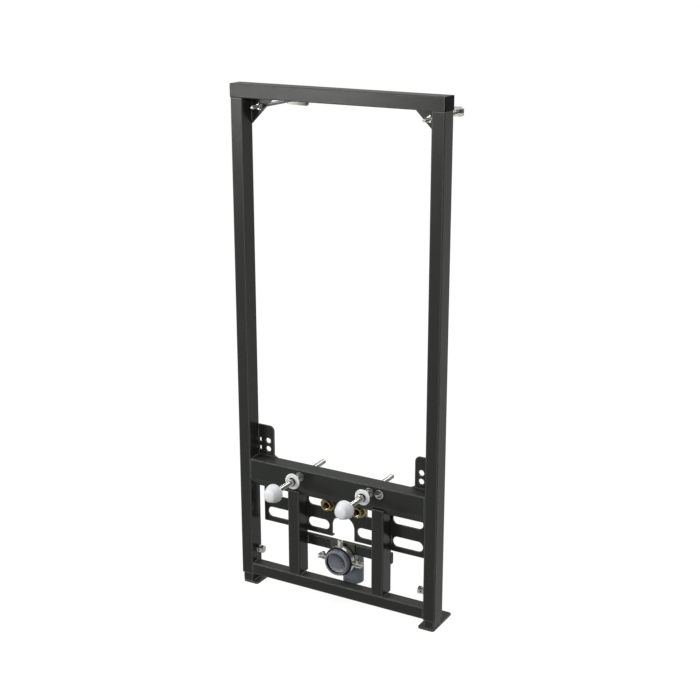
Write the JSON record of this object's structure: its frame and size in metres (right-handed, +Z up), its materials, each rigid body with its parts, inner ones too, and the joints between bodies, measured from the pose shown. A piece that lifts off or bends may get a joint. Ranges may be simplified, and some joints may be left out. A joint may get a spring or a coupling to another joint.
{
  "type": "bidet installation frame",
  "caption": "Floor-standing steel frame that carries a wall-hung bidet, with fixing rods, tap elbows, a clamped drain elbow, wall stays and telescopic feet.",
  "frame": {"origin": "on the floor, in the middle of the frame's outline", "axes": "+Z up, +X to the right seen from the front, -Y towards the bidet"},
  "size_m": [0.512, 0.303, 1.175],
  "materials": {
    "frame_coat": "satin powder coat",
    "zinc_steel": "bright zinc plating",
    "brass": "dull cast",
    "white_plastic": "satin moulded",
    "grey_plastic": "satin moulded",
    "black_plastic": "matt moulded",
    "rubber": "matt"
  },
  "bodies": {
    "frame": {"bottom_beam": "frame_coat", "clamp_bracket": "zinc_steel", "clamp_liner": "rubber", "clamp_lower": "zinc_steel", "clamp_upper": "zinc_steel", "connection_plate": "frame_coat", "drain_bar": "frame_coat", "drain_elbow": "grey_plastic", "drain_seal": "rubber", "left_bush": "white_plastic", "left_clamp_screw": "zinc_steel", "left_ear": "frame_coat", "left_end_plug": "black_plastic", "left_fixing_rod": "zinc_steel", "left_foot_bolt": "zinc_steel", "left_gusset": "frame_coat", "left_insert": "zinc_steel", "left_post": "frame_coat", "left_rod_cap": "white_plastic", "left_rod_nut": "zinc_steel", "left_tap_elbow": "brass", "left_upright": "frame_coat", "left_wall_nut": "zinc_steel", "left_wall_plate": "zinc_steel", "left_wall_rod": "zinc_steel", "left_weld_nut": "zinc_steel", "mounting_beam": "frame_coat", "right_bush": "white_plastic", "right_clamp_screw": "zinc_steel", "right_ear": "frame_coat", "right_end_plug": "black_plastic", "right_fixing_rod": "zinc_steel", "right_foot_bolt": "zinc_steel", "right_gusset": "frame_coat", "right_insert": "zinc_steel", "right_post": "frame_coat", "right_rod_cap": "white_plastic", "right_rod_nut": "zinc_steel", "right_spare_insert": "zinc_steel", "right_tap_elbow": "brass", "right_upright": "frame_coat", "right_wall_nut": "zinc_steel", "right_wall_plate": "zinc_steel", "right_wall_rod": "zinc_steel", "right_weld_nut": "zinc_steel", "top_beam": "frame_coat"},
    "left_foot": {"left_foot": "frame_coat", "left_foot_plate": "frame_coat"},
    "right_foot": {"right_foot": "frame_coat", "right_foot_plate": "frame_coat"}
  },
  "joints": [
    {"name": "left_foot_slide", "type": "slide", "parent": "frame", "child": "left_foot", "axis": [0, 0, -1], "range_m": [-0.015, 0.18]},
    {"name": "right_foot_slide", "type": "slide", "parent": "frame", "child": "right_foot", "axis": [0, 0, -1], "range_m": [-0.015, 0.18]}
  ]
}
